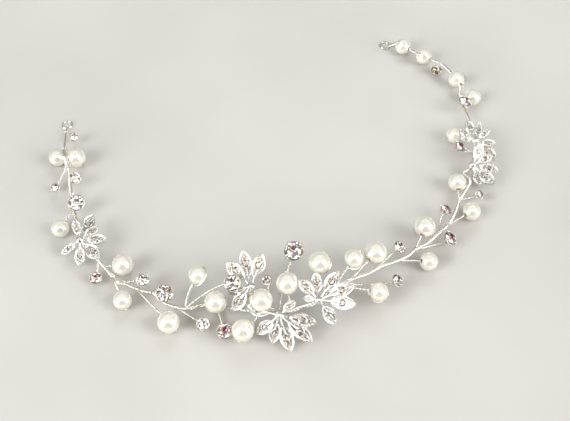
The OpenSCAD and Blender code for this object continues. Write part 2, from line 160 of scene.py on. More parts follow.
def onStem(s):
    last = len(stemStations) - 1
    i = min(int(math.floor(s)), last - 1)
    t = s - i
    a, b = stemStations[max(i - 1, 0)], stemStations[i]
    c, d = stemStations[i + 1], stemStations[min(i + 2, last)]
    return 0.5 * (2 * b + (c - a) * t + (2 * a - 5 * b + 4 * c - d) * t ** 2
                  + (3 * b - a - 3 * c + d) * t ** 3)


def alongStem(s):
    return unit(onStem(s + 0.05) - onStem(s - 0.05))


def between(a, b, bow):
    return (a + b) / 2 + bow * unit(np.cross(worldUp, b - a))


def bezier(a, b, c, count):
    t = np.linspace(0, 1, count)[:, None]
    return (1 - t) ** 2 * a + 2 * t * (1 - t) * b + t ** 2 * c


def evenly(path, step):
    # the same path with points at even steps
    path = np.asarray(path, float)
    reach = np.r_[0, np.cumsum(np.linalg.norm(np.diff(path, axis=0), axis=1))]
    count = max(2, int(round(reach[-1] / step)) + 1)
    at = np.linspace(0, reach[-1], count)
    return np.stack([np.interp(at, reach, path[:, k]) for k in range(3)], 1)


def rounded(path, perSpan=5):
    # a smooth curve through a few points
    path = np.asarray(path, float)
    ends = np.vstack([2 * path[0] - path[1], path, 2 * path[-1] - path[-2]])
    out = []
    for i in range(1, len(ends) - 2):
        a, b, c, d = ends[i - 1:i + 3]
        for k in range(perSpan):
            t = k / perSpan
            out.append(0.5 * (2 * b + (c - a) * t + (2 * a - 5 * b + 4 * c - d) * t ** 2
                              + (3 * b - a - 3 * c + d) * t ** 3))
    out.append(path[-1])
    return np.array(out)


def carriedFrames(path):
    # tangent and two normals at each point, turned as little as possible along the way
    tangents = np.gradient(path, axis=0)
    tangents /= np.linalg.norm(tangents, axis=1)[:, None]
    normal = square(tangents[0], worldUp)
    firsts = []
    for t in tangents:
        normal = square(t, normal)
        firsts.append(normal)
    firsts = np.array(firsts)
    return tangents, firsts, np.cross(tangents, firsts)


# ---- meshes: a stock is a list of (points, faces, smooth, material number)

def addTube(stock, path, radii, sides=8, closed=False, material=0, flat=1.0):
    path = np.array(path, float)
    count = len(path)
    radii = np.broadcast_to(np.asarray(radii, float), (count,))
    path[:, 2] = np.maximum(path[:, 2], radii * 1.02)  # no wire dips under the surface it lies on
    if closed:
        tangents = np.roll(path, -1, 0) - np.roll(path, 1, 0)
        tangents /= np.linalg.norm(tangents, axis=1)[:, None]
        middle = path.mean(0)
        firsts = np.array([square(t, p - middle) for t, p in zip(tangents, path)])
        seconds = np.cross(tangents, firsts)
    else:
        tangents, firsts, seconds = carriedFrames(path)
    turn = np.linspace(0, 2 * math.pi, sides, endpoint=False)
    ring = (np.cos(turn)[None, :, None] * firsts[:, None]
            + flat * np.sin(turn)[None, :, None] * seconds[:, None])
    points = (path[:, None] + radii[:, None, None] * ring).reshape(-1, 3)
    faces = []
    for i in range(count if closed else count - 1):
        j = (i + 1) % count
        for k in range(sides):
            m = (k + 1) % sides
            faces.append((i * sides + k, i * sides + m, j * sides + m, j * sides + k))
    if not closed:
        faces.append(tuple(range(sides - 1, -1, -1)))
        faces.append(tuple((count - 1) * sides + k for k in range(sides)))
    stock.append((points, faces, True, material))


def addStrands(stock, path, count, strandR, offset, lead, turnAtEnd=None, sides=8,
               startTurn=0.0, material=0):
    # strands twisted about a path; gives back each strand's two ends
    tangents, firsts, seconds = carriedFrames(path)
    reach = np.r_[0, np.cumsum(np.linalg.norm(np.diff(path, axis=0), axis=1))]
    turn = 2 * math.pi * reach / lead + startTurn
    if turnAtEnd is not None:
        wanted = math.atan2(np.dot(turnAtEnd, seconds[-1]), np.dot(turnAtEnd, firsts[-1]))
        turn += wanted - turn[-1]
    offset = np.broadcast_to(np.asarray(offset, float), (len(path),))
    ends = []
    for k in range(count):
        a = turn + 2 * math.pi * k / count
        strand = path + offset[:, None] * (np.cos(a)[:, None] * firsts
                                           + np.sin(a)[:, None] * seconds)
        addTube(stock, strand, strandR, sides, material=material)
        ends.append((strand[0], strand[-1]))
    return ends, turn[-1]


def addLathe(stock, profile, at, axis, segments=32, closed=False, smooth=True, material=0,
             towards=worldUp, shape=None):
    # turns a profile of (radius, height) about an axis; a radius of 0 closes the end
    z = unit(axis)
    x = square(z, towards)
    y = np.cross(z, x)
    profile = np.asarray(profile, float)
    points, starts = [], []
    for r, h in profile:
        starts.append(len(points))
        if r < 1e-9:
            points.append(at + z * h)
            continue
        for k in range(segments):
            a = 2 * math.pi * k / segments
            rr, hh = shape(r, h, a) if shape else (r, h)
            points.append(at + rr * (math.cos(a) * x + math.sin(a) * y) + z * hh)
    faces = []
    pairs = list(zip(range(len(profile) - 1), range(1, len(profile))))
    if closed:
        pairs.append((len(profile) - 1, 0))
    for i, j in pairs:
        flatI, flatJ = profile[i][0] < 1e-9, profile[j][0] < 1e-9
        for k in range(segments):
            m = (k + 1) % segments
            a, b = starts[i] + (0 if flatI else k), starts[i] + (0 if flatI else m)
            c, d = starts[j] + (0 if flatJ else m), starts[j] + (0 if flatJ else k)
            if flatI and flatJ:
                continue
            if flatI:
                faces.append((a, c, d))
            elif flatJ:
                faces.append((a, b, c))
            else:
                faces.append((a, b, c, d))
    stock.append((np.array(points), faces, smooth, material))


def addBall(stock, at, radius, axis=worldUp, segments=12, rings=7, material=0, stretch=1.0):
    profile = [(radius * math.sin(math.pi * k / rings),
                -stretch * radius * math.cos(math.pi * k / rings)) for k in range(rings + 1)]
    profile[0], profile[-1] = (0, -stretch * radius), (0, stretch * radius)
    addLathe(stock, profile, at, axis, segments, material=material)


def makePiece(name, stock, materials, replaced=()):
    points, faces, smooth, numbers, base = [], [], [], [], 0
    for p, f, s, m in stock:
        points.append(np.asarray(p))
        faces += [tuple(base + i for i in face) for face in f]
        smooth += [s] * len(f)
        numbers += m if isinstance(m, list) else [m] * len(f)
        base += len(p)
    allPoints = (np.vstack(points) - tableMiddle) * 0.001
    mesh = bpy.data.meshes.new(name)
    mesh.from_pydata(allPoints.tolist(), [], faces)
    mesh.polygons.foreach_set("use_smooth", smooth)
    mesh.polygons.foreach_set("material_index", numbers)
    for m in materials:
        mesh.materials.append(m)
    mesh.validate()
    mesh.update()
    piece = bpy.data.objects.new(name, mesh)
    bpy.context.scene.collection.objects.link(piece)
    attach(piece, "root")
    if replaced:
        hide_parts(*replaced)
    return piece


# ---- materials

def newGroup(name, inputs, outputs):
    group = bpy.data.node_groups.new(name, "ShaderNodeTree")
    for label, kind, value in inputs:
        socket = group.interface.new_socket(name=label, in_out="INPUT", socket_type=kind)
        socket.default_value = value
    for label, kind in outputs:
        group.interface.new_socket(name=label, in_out="OUTPUT", socket_type=kind)
    return group, group.nodes.new("NodeGroupInput"), group.nodes.new("NodeGroupOutput")


def buildHandlingWear():
    # faint smudges in the gloss and a fine grain in the surface
    group, inp, out = newGroup(
        "handlingWear",
        [("Scale", "NodeSocketFloat", 600.0), ("Roughness", "NodeSocketFloat", 0.2),
         ("Spread", "NodeSocketFloat", 0.1)],
        [("Roughness", "NodeSocketFloat"), ("Height", "NodeSocketFloat")])
    nodes, links = group.nodes, group.links
    place = nodes.new("ShaderNodeTexCoord")
    smudge = nodes.new("ShaderNodeTexNoise")
    smudge.inputs["Detail"].default_value = 4
    links.new(place.outputs["Object"], smudge.inputs["Vector"])
    links.new(inp.outputs["Scale"], smudge.inputs["Scale"])
    grain = nodes.new("ShaderNodeTexNoise")
    grain.inputs["Detail"].default_value = 3
    finer = nodes.new("ShaderNodeMath")
    finer.operation = "MULTIPLY"
    finer.inputs[1].default_value = 5
    links.new(inp.outputs["Scale"], finer.inputs[0])
    links.new(place.outputs["Object"], grain.inputs["Vector"])
    links.new(finer.outputs[0], grain.inputs["Scale"])
    centred = nodes.new("ShaderNodeMath")
    centred.operation = "SUBTRACT"
    centred.inputs[1].default_value = 0.5
    links.new(smudge.outputs["Fac"], centred.inputs[0])
    spread = nodes.new("ShaderNodeMath")
    spread.operation = "MULTIPLY_ADD"
    links.new(centred.outputs[0], spread.inputs[0])
    links.new(inp.outputs["Spread"], spread.inputs[1])
    links.new(inp.outputs["Roughness"], spread.inputs[2])
    spread.use_clamp = True
    links.new(spread.outputs[0], out.inputs["Roughness"])
    links.new(grain.outputs["Fac"], out.inputs["Height"])
    return group


def buildPatchTint():
    # two colours in soft patches
    group, inp, out = newGroup(
        "patchTint",
        [("Scale", "NodeSocketFloat", 300.0), ("First", "NodeSocketColor", (1, 1, 1, 1)),
         ("Second", "NodeSocketColor", (1, 1, 1, 1)), ("From", "NodeSocketFloat", 0.45),
         ("To", "NodeSocketFloat", 0.6)],
        [("Color", "NodeSocketColor")])
    nodes, links = group.nodes, group.links
    place = nodes.new("ShaderNodeTexCoord")
    noise = nodes.new("ShaderNodeTexNoise")
    noise.inputs["Detail"].default_value = 2
    links.new(place.outputs["Object"], noise.inputs["Vector"])
    links.new(inp.outputs["Scale"], noise.inputs["Scale"])
    limits = nodes.new("ShaderNodeMapRange")
    links.new(noise.outputs["Fac"], limits.inputs["Value"])
    links.new(inp.outputs["From"], limits.inputs["From Min"])
    links.new(inp.outputs["To"], limits.inputs["From Max"])
    mix = nodes.new("ShaderNodeMix")
    mix.data_type = "RGBA"
    links.new(limits.outputs["Result"], mix.inputs["Factor"])
    links.new(inp.outputs["First"], mix.inputs["A"])
    links.new(inp.outputs["Second"], mix.inputs["B"])
    links.new(mix.outputs["Result"], out.inputs["Color"])
    return group


handlingWear = buildHandlingWear()
patchTint = buildPatchTint()


def newMaterial(name, plain, wear, tint, bump):
    # plain: values set on the shader; wear: roughness and its spread; tint: two colours
    material = bpy.data.materials.new(name)
    material.use_nodes = True
    nodes, links = material.node_tree.nodes, material.node_tree.links
    shader = nodes["Principled BSDF"]
    for label, value in plain.items():
        shader.inputs[label].default_value = value
    wearNode = nodes.new("ShaderNodeGroup")
    wearNode.node_tree = handlingWear
    for label, value in wear.items():
        wearNode.inputs[label].default_value = value
    links.new(wearNode.outputs["Roughness"], shader.inputs["Roughness"])
    tintNode = nodes.new("ShaderNodeGroup")
    tintNode.node_tree = patchTint
    for label, value in tint.items():
        tintNode.inputs[label].default_value = value
    links.new(tintNode.outputs["Color"], shader.inputs["Base Color"])
    if bump:
        relief = nodes.new("ShaderNodeBump")
        relief.inputs["Strength"].default_value = bump[0]
        relief.inputs["Distance"].default_value = bump[1]
        links.new(wearNode.outputs["Height"], relief.inputs["Height"])
        links.new(relief.outputs["Normal"], shader.inputs["Normal"])
    return material, nodes, links, shader, tintNode


finishes = {
    "pearl": {"ivory": (0.95, 0.925, 0.845, 1), "cream": (0.94, 0.91, 0.815, 1),
              # edge: a painted shade, mixed in towards each pearl's outline
              "edge": (0.78, 0.76, 0.65, 1), "metallic": 0.42, "roughness": 0.18, "coat": 1.0,
              "coatRoughness": 0.06},
    "wire": {"light": (0.94, 0.92, 0.87, 1), "dull": (0.84, 0.80, 0.73, 1), "roughness": 0.22},
    "casting": {"light": (0.97, 0.97, 0.96, 1), "dull": (0.86, 0.85, 0.83, 1), "roughness": 0.24},
    "leafFloor": {"light": (0.66, 0.63, 0.58, 1), "dull": (0.42, 0.38, 0.33, 1), "roughness": 0.34},
    "claw": {"light": (0.90, 0.88, 0.85, 1), "dull": (0.70, 0.66, 0.60, 1), "roughness": 0.18},
    "bronze": {"light": (0.34, 0.29, 0.17, 1), "dull": (0.16, 0.13, 0.07, 1), "roughness": 0.22},
    "foil": {"light": (0.74, 0.71, 0.67, 1), "dull": (0.26, 0.17, 0.14, 1), "roughness": 0.12},
    "crystal": {"clear": (0.96, 0.95, 0.95, 1), "smoke": (0.84, 0.78, 0.77, 1), "index": 1.62},
    # painted flashes: glass tints that stand in for coloured light caught by a few facets
    "paintedMaroonFlashTint": {"clear": (0.55, 0.10, 0.16, 1), "smoke": (0.75, 0.35, 0.40, 1), "index": 1.62},
    "paintedBlueFlashTint": {"clear": (0.12, 0.30, 1.0, 1), "smoke": (0.40, 0.30, 1.0, 1), "index": 1.62},
}


def pearlMaterial():
    f = finishes["pearl"]
    material, nodes, links, shader, tintNode = newMaterial(
        "pearlCoating",
        {"Metallic": f["metallic"], "Coat Weight": f["coat"], "Coat Roughness": f["coatRoughness"],
         "IOR": 1.55},
        {"Scale": 380.0, "Roughness": f["roughness"], "Spread": 0.06},
        {"Scale": 160.0, "First": f["ivory"], "Second": f["cream"], "From": 0.4, "To": 0.65},
        (0.05, 0.00002))
    # painted shade: the colour darkens and warms towards the pearl's outline, where its surface turns from
    # the view
    rim = nodes.new("ShaderNodeLayerWeight")
    rim.inputs["Blend"].default_value = 0.35
    mix = nodes.new("ShaderNodeMix")
    mix.data_type = "RGBA"
    mix.inputs["B"].default_value = f["edge"]
    links.new(rim.outputs["Facing"], mix.inputs["Factor"])
    links.new(tintNode.outputs["Color"], mix.inputs["A"])
    links.new(mix.outputs["Result"], shader.inputs["Base Color"])
    return material


def metalMaterial(name, finish, scale, bump):
    f = finishes[finish]
    return newMaterial(
        name, {"Metallic": 1.0},
        {"Scale": scale, "Roughness": f["roughness"], "Spread": 0.16},
        {"Scale": scale * 0.7, "First": f["light"], "Second": f["dull"], "From": 0.48, "To": 0.8},
        bump)[0]


def crystalMaterial(name, finish):
    f = finishes[finish]
    return newMaterial(
        name,
        {"Transmission Weight": 1.0, "IOR": f["index"]},
        {"Scale": 500.0, "Roughness": 0.012, "Spread": 0.02},
        {"Scale": 450.0, "First": f["clear"], "Second": f["smoke"], "From": 0.4, "To": 0.6},
        None)[0]


pearlCoating = pearlMaterial()
wireMetal = metalMaterial("platedWire", "wire", 900.0, (0.15, 0.00002))
castMetal = metalMaterial("platedCasting", "casting", 700.0, (0.2, 0.00003))
bladeMetal = metalMaterial("dullFloor", "leafFloor", 800.0, (0.4, 0.00004))
clawMetal = metalMaterial("clawMetal", "claw", 700.0, (0.12, 0.00002))
bronzeBack = metalMaterial("bronzeBack", "bronze", 500.0, (0.2, 0.00002))
foilMetal = metalMaterial("foilLining", "foil", 420.0, (0.1, 0.00002))
cutCrystal = crystalMaterial("cutCrystal", "crystal")
# glass for the painted coloured flashes on a few crystal facets
paintedMaroonFlash = crystalMaterial("paintedMaroonFlash", "paintedMaroonFlashTint")
paintedBlueFlash = crystalMaterial("paintedBlueFlash", "paintedBlueFlashTint")
print("materials made")


# ---- pearls

pearlShape = {"largeD": 7.0, "smallD": 6.0, "boreD": 1.2, "strungBoreD": 1.5, "lip": 0.14,
              "segments": 48, "arcSteps": 26, "frontSide": np.array([0, -0.604, 0.797]),
              "mostOpening": 0.1}


def pearlR(p):
    return (pearlShape["largeD"] if p[3] else pearlShape["smallD"]) / 2


def pearlAt(p):
    return np.array([p[0], p[1], p[2] + pearlR(p)])


def pearlAxis(p):
    if p[6]:
        return alongStem(p[4])
    axis = unit(pearlAt(p) - between(stemStations[p[4]], pearlAt(p), p[5]))
    # a bore that would open to the front is turned to the pearl's side
    opening = np.dot(axis, pearlShape["frontSide"])
    if opening > pearlShape["mostOpening"]:
        axis = unit(axis - pearlShape["frontSide"] * (opening - pearlShape["mostOpening"]))
    return axis


def pearlProfile(p):
    # the bore's wall, an eased lip and the round outside, as a closed loop
    r = pearlR(p)
    bore = (pearlShape["strungBoreD"] if p[6] else pearlShape["boreD"]) / 2
    lip = pearlShape["lip"]
    start = math.asin((bore + lip) / r)
    arc = np.linspace(start, math.pi - start, pearlShape["arcSteps"])
    outside = [(r * math.sin(a), r * math.cos(a)) for a in arc]
    edge = r * math.cos(start)
    top = [(bore, edge - 2.2 * lip), (bore + 0.02, edge - lip), (bore + 0.3 * lip, edge - 0.35 * lip),
           (bore + 0.62 * lip, edge - 0.04)]
    return top + outside + [(x, -y) for x, y in top[::-1]]


for number, p in enumerate(pearlTable, 1):
    stock = []
    profile = pearlProfile(p)
    addLathe(stock, profile[::-1], pearlAt(p), pearlAxis(p), pearlShape["segments"], closed=True)
    makePiece(f"pearlBead{number}", stock, [pearlCoating], [f"pearl_{number}"])
print("pearls drilled")


# ---- twisted wire

wire = {"stemD": 1.2, "stemEndD": 0.8, "thinLeft": 6, "thinRight": 16, "stemStrands": 3,
        "stemLead": 3.3, "stemStep": 0.27, "twigD": 0.7, "twigLead": 2.3, "twigStep": 0.2,
        "loopR": 0.165, "loopFrom": 14, "strungFrom": 16, "loopTo": 164, "loopPoints": 12, "pearlGap": 0.3,
        "wrapR": 0.14, "wrapTurns": 2.5, "sprigTurns": 4, "wrapPitch": 0.3,
        "eyeR": 1.7, "eyeWireR": 0.3}
# sizes in millimetres, the rest as shares of a setting's size; strandWay: back from the stone and
# out to the side; rings: radius, height and thickness
setting = {"sizes": [3.4, 4.4, 5.4, 6.0, 6.8], "height": 0.4, "claws": 4, "tipR": 0.056,
           "strandWay": [(0.37, 0.27), (0.29, 0.345), (0.23, 0.36), (0.19, 0.31)],
           "rings": [(0.2, -0.372, 0.03), (0.432, -0.085, 0.022)], "rimDip": 0.02}


def stemR(s):
    full = min(1.0, s / wire["thinLeft"], (len(stemStations) - 1 - s) / wire["thinRight"])
    return (wire["stemEndD"] + (wire["stemD"] - wire["stemEndD"]) * full) / 2


def addWrap(stock, station, turns=None):
    # a strand wound round the stem where a twig leaves it
    turns = turns or wire["wrapTurns"]
    r = stemR(station) + 0.6 * wire["wrapR"]
    middle, along = onStem(station), alongStem(min(max(station, 0.06), len(stemStations) - 1.06))
    x = square(along, worldUp)
    y = np.cross(along, x)
    t = np.linspace(-0.5, 0.5, int(14 * turns))
    a = 2 * math.pi * turns * t
    path = (middle + np.outer(t * turns * wire["wrapPitch"], along)
            + r * (np.outer(np.cos(a), x) + np.outer(np.sin(a), y)))
    addTube(stock, path, wire["wrapR"], 6)


def loopRound(at, axis, lean, r, first):
    # from the bore's far end over the pearl's outside to its near end
    reach = r + wire["loopR"] + 0.01
    around = np.radians(np.linspace(first, wire["loopTo"], wire["loopPoints"]))
    return [at + reach * (math.cos(a) * axis + math.sin(a) * lean) for a in around]


def addPearlTwig(stock, p):
    # two strands twisted up to the pearl; one goes through it and returns round it
    start, axis, r, at = stemStations[p[4]], pearlAxis(p), pearlR(p), pearlAt(p)
    near = at - axis * (r + wire["pearlGap"])
    bend = near - axis * np.linalg.norm(near - start) / 2
    lean = square(axis, p[7])
    path = evenly(bezier(start, bend, near, 40), wire["twigStep"])
    strandR = wire["twigD"] / 4
    ends, _ = addStrands(stock, path, 2, strandR, strandR, wire["twigLead"], turnAtEnd=lean, sides=7)
    outer, inner = ends[0][1], ends[1][1]
    inBore = [inner, at - axis * r * 0.86, at, at + axis * r * 0.9,
              at + axis * (r + 0.16) + lean * 0.1]
    over = loopRound(at, axis, lean, r, wire["loopFrom"])
    addTube(stock, rounded(inBore + over + [outer], 4), wire["loopR"], 7)


def addStrungLoop(stock, p):
    # the stem goes through this pearl, and one strand passes round its outside
    axis, r, at = pearlAxis(p), pearlR(p), pearlAt(p)
    lean = square(axis, p[7])
    start, end = at + axis * (r + 0.9) + lean * 0.3, at - axis * (r + 0.9) + lean * 0.3
    over = loopRound(at, axis, lean, r, wire["strungFrom"])
    addTube(stock, rounded([start] + over + [end], 4), wire["loopR"], 7)


def crystalBack(c):
    d = setting["sizes"][c[3]]
    f = facing(c[6], c[7])
    return np.array(c[:3]) - f * (setting["height"] * d + 0.5), f, d


def addCrystalTwig(stock, c):
    # two strands to the back of a setting, where they part and go into its sides
    start = stemStations[c[4]]
    back, f, d = crystalBack(c)
    behind = between(start, back, c[5]) * 0.4 + (back - f * 0.3 * np.linalg.norm(back - start)) * 0.6
    behind[2] = max(behind[2], wire["twigD"])
    path = evenly(bezier(start, behind, back, 40), wire["twigStep"])
    side = square(f, np.cross(f, start - back) + 1e-4)
    strandR = wire["twigD"] / 4
    ends, _ = addStrands(stock, path, 2, strandR, strandR, wire["twigLead"], turnAtEnd=side, sides=7)
    at = np.array(c[:3])
    for sign, (_, end) in zip((1, -1), ends):
        way = [end, end + f * 0.2 + sign * side * 0.12 * d]
        way += [at - f * b * d + sign * side * s * d for b, s in setting["strandWay"]]
        addTube(stock, rounded(way, 4), wire["loopR"] * 0.9, 7)


def addSprigTwig(stock, s):
    start = stemStations[s[1][2]]
    end = np.array(s[0]) - np.array([0, 0, 1.0])
    path = evenly([start, end], wire["twigStep"])
    addStrands(stock, path, 2, wire["twigD"] / 4, wire["twigD"] / 4, wire["twigLead"], sides=7)


def addEye(stock, station, neighbour):
    # the strand's end bent to a ring
    away = stemStations[station][:2] - stemStations[neighbour][:2]
    away = away / np.linalg.norm(away)
    r = wire["eyeR"]
    middle = np.array([*(stemStations[station][:2] + (r + 0.05) * away), wire["eyeWireR"]])
    a = np.linspace(0, 2 * math.pi, 48, endpoint=False)
    ring = middle + r * np.stack([np.cos(a), np.sin(a), 0 * a], 1)
    addTube(stock, ring, wire["eyeWireR"], 10, closed=True)


turnSoFar = 0.0
for k, name in enumerate(stretchNames):
    first, last = stretchEnds[k], stretchEnds[k + 1]
    fine = np.linspace(first, last, (last - first) * 24 + 1)
    curve = np.array([onStem(s) for s in fine])
    path = evenly(curve, wire["stemStep"])
    reach = np.r_[0, np.cumsum(np.linalg.norm(np.diff(curve, axis=0), axis=1))]
    stations = np.interp(np.linspace(0, reach[-1], len(path)), reach, fine)
    radii = np.array([stemR(s) for s in stations])
    stock = []
    _, turnSoFar = addStrands(stock, path, wire["stemStrands"], radii * 0.464, radii * 0.536,
                              wire["stemLead"], startTurn=turnSoFar, sides=9)
    forks = set()
    for p in pearlTable:
        if first <= p[4] < last:
            if p[6]:
                addStrungLoop(stock, p)
            else:
                addPearlTwig(stock, p)
                forks.add(p[4])
    for c in crystalTable:
        if first <= c[4] < last:
            addCrystalTwig(stock, c)
            forks.add(c[4])
    for s in sprigTable:
        if first <= s[1][2] < last:
            addSprigTwig(stock, s)
            forks.add(s[1][2])
    for s in sorted(forks):
        addWrap(stock, s)
    for s in sprigStations:
        # a wrap at a seam between two stretches sits just past it
        if first <= s < last:
            addWrap(stock, s + (0.25 if s in stretchEnds else 0), wire["sprigTurns"])
    if k == 0:
        addEye(stock, 0, 1)
    if k == 3:
        addEye(stock, len(stemStations) - 1, len(stemStations) - 2)
    makePiece(f"twistedWire_{name}", stock, [wireMetal], [f"wire_{name}"])
print("wire twisted")


# ---- crystals and their claw settings

stoneCut = {"girdleR": 0.39, "tableR": 0.22, "crownH": 0.12, "girdleT": 0.02, "pavilionH": 0.3}


def addBrilliant(stock, at, axis, d, cut, towards=worldUp, material=0, turn=0.0):
    # table, 8 stars, 8 kites, 16 upper and 16 lower halves, 8 mains and a narrow girdle
    z = unit(axis)
    x0 = square(z, towards)
    x = math.cos(turn) * x0 + math.sin(turn) * np.cross(z, x0)
    y = np.cross(z, x)
    r, rt = cut["girdleR"] * d, cut["tableR"] * d
    crown, girdle, pavilion = cut["crownH"] * d, cut["girdleT"] * d, cut["pavilionH"] * d

    def ring(radius, height, count, shift):
        a = 2 * math.pi * (np.arange(count) + shift) / count
        return at + radius * (np.outer(np.cos(a), x) + np.outer(np.sin(a), y)) + z * height

    star = rt + (r - rt) * 0.5
    points = np.vstack([ring(rt, crown, 8, 0), ring(star, crown * 0.56, 8, 0.5), ring(r, 0, 16, 0),
                        ring(r, -girdle, 16, 0), ring(0.36 * r, -girdle - 0.72 * pavilion, 8, 0.5),
                        [at - z * (girdle + pavilion)]])
    t, s, g, h, m, culet = 0, 8, 16, 32, 48, 56
    faces = [tuple(t + k for k in range(8))]
    for k in range(8):
        n, p = (k + 1) % 8, (k + 7) % 8
        faces.append((t + k, s + k, t + n))
        faces.append((t + k, s + p, g + 2 * k, s + k))
        faces.append((s + k, g + 2 * k, g + 2 * k + 1))
        faces.append((s + k, g + 2 * k + 1, g + (2 * k + 2) % 16))
        faces.append((culet, m + p, h + 2 * k))
        faces.append((culet, h + 2 * k, m + k))
        faces.append((h + 2 * k, h + 2 * k + 1, m + k))
        faces.append((h + 2 * k + 1, h + (2 * k + 2) % 16, m + k))
    fixed = []
    for face in faces:
        # all faces wind outwards from the stone's inside
        pts = points[list(face)]
        normal = np.cross(pts[1] - pts[0], pts[2] - pts[0])
        inside = at - z * 0.1 * d
        fixed.append(face if np.dot(normal, pts.mean(0) - inside) > 0 else face[::-1])
    for k in range(16):
        n = (k + 1) % 16
        fixed.append((g + k, h + k, h + n, g + n))
    stock.append((points, fixed, False, material))


# radius and height, as shares of a setting's size
backProfile = [(0, -0.385), (0.17, -0.385), (0.24, -0.345), (0.425, -0.12), (0.432, -0.07),
               (0.415, -0.04), (0.40, -0.055), (0.31, -0.19), (0.1, -0.345), (0, -0.355)]
liningProfile = [(0, -0.352), (0.1, -0.34), (0.31, -0.182), (0.404, -0.055), (0.398, -0.05),
                 (0.3, -0.182), (0.09, -0.336), (0, -0.346)]
clawPath = [(0.14, -0.385), (0.225, -0.375), (0.33, -0.255), (0.415, -0.145), (0.448, -0.07),
            (0.452, -0.01), (0.442, 0.045), (0.408, 0.088), (0.372, 0.1)]


def addSetting(stock, c):
    # the stone's foiled back in a basket: a foot ring, a rim ring and claws that join them
    d = setting["sizes"][c[3]]
    at, f = np.array(c[:3]), facing(c[6], c[7])
    claws, turn = setting["claws"], math.radians(c[8])
    x = square(f, worldUp)
    y = np.cross(f, x)
    addLathe(stock, np.array(backProfile) * d, at, f, 16, smooth=False, material=0)
    addLathe(stock, np.array(liningProfile) * d, at, f, 32, material=2)
    a = np.linspace(0, 2 * math.pi, 40, endpoint=False)
    for ringR, height, thick in setting["rings"]:
        # the rim ring dips a little between the claws
        dip = (setting["rimDip"] * np.cos(claws * (a - turn)) if height > -0.2 else 0 * a) * d
        ring = at + ringR * d * (np.outer(np.cos(a), x) + np.outer(np.sin(a), y))
        addTube(stock, ring + np.outer(height * d + dip, f), thick * d, 8, closed=True, material=1)
    for k in range(claws):
        a = turn + 2 * math.pi * k / claws
        out = math.cos(a) * x + math.sin(a) * y
        path = rounded([at + d * (r * out + h * f) for r, h in clawPath], 4)
        addTube(stock, path, np.linspace(0.05, 0.04, len(path)) * d, 8, material=1)
        addBall(stock, at + d * (0.372 * out + 0.094 * f), setting["tipR"] * d, f, 10, 6, material=1)


# painted flashes: tinted glass on a few facets stands in for the coloured light that they catch: crystal,
# glass, facets by number (57 and a girdle)
paintedFlashes = {3: (paintedMaroonFlash, (5,)), 4: (paintedBlueFlash, (2, 3, 58)), 5: (paintedMaroonFlash, (0,)),
           7: (paintedMaroonFlash, (9, 10)), 9: (paintedMaroonFlash, (0, 1)), 12: (paintedMaroonFlash, (13, 14)),
           15: (paintedMaroonFlash, (0,)), 16: (paintedMaroonFlash, (0,)), 18: (paintedMaroonFlash, (0,))}
for number, c in enumerate(crystalTable, 1):
    d = setting["sizes"][c[3]]
    stock = []
    addBrilliant(stock, np.array(c[:3]), facing(c[6], c[7]), d, stoneCut, turn=math.radians(c[8] + 11))
    paintedFlash = paintedFlashes.get(number)
    piece = makePiece(f"cutCrystal{number}", stock, [cutCrystal] + ([paintedFlash[0]] if paintedFlash else []),
                      [f"crystal_{number}"])
    for facet in (paintedFlash[1] if paintedFlash else ()):
        piece.data.polygons[facet].material_index = 1
for name, (crystals, _) in pieceGroups.items():
    stock = []
    for i in crystals:
        addSetting(stock, crystalTable[i])
    makePiece(f"clawSettings_{name}", stock, [bronzeBack, clawMetal, foilMetal],
              [f"settings_{name}"])
print("crystals set")


# ---- cast leaf sprigs and their small stones

leaf = {"width": 4.2, "rim": 0.45, "slimness": 0.56, "bladeShare": 0.74, "floorZ": 0.05,
        "stoneD": 2.2, "tipStoneD": 1.2, "hubR": 1.3, "stations": 26, "prongs": 6, "beads": 9,
        "beadR": 0.17, "beadClear": 0.12}
leafCut = {"girdleR": 0.54, "tableR": 0.28, "crownH": 0.2, "girdleT": 0.02, "pavilionH": 0.13}


def leafSizes(tip):
    reach = np.linalg.norm(tip)
    length = leaf["bladeShare"] * reach
    width = min(leaf["width"], leaf["slimness"] * length)
    share = width / leaf["width"]
    main, small = leaf["stoneD"] * share, leaf["tipStoneD"] * share
    return {"reach": reach, "l": length, "w": width, "rim": leaf["rim"] * share, "main": main,
            "small": small, "smallX": (main + small) / 2 + 0.15}


def leafFrame(hub, tip, top):
    # sizes, the three directions and the blade's middle
    size = leafSizes(tip)
    x = unit(tip)
    y = unit(np.cross(top, x))
    return size, x, y, np.cross(x, y), hub + x * (size["reach"] - size["l"] / 2)


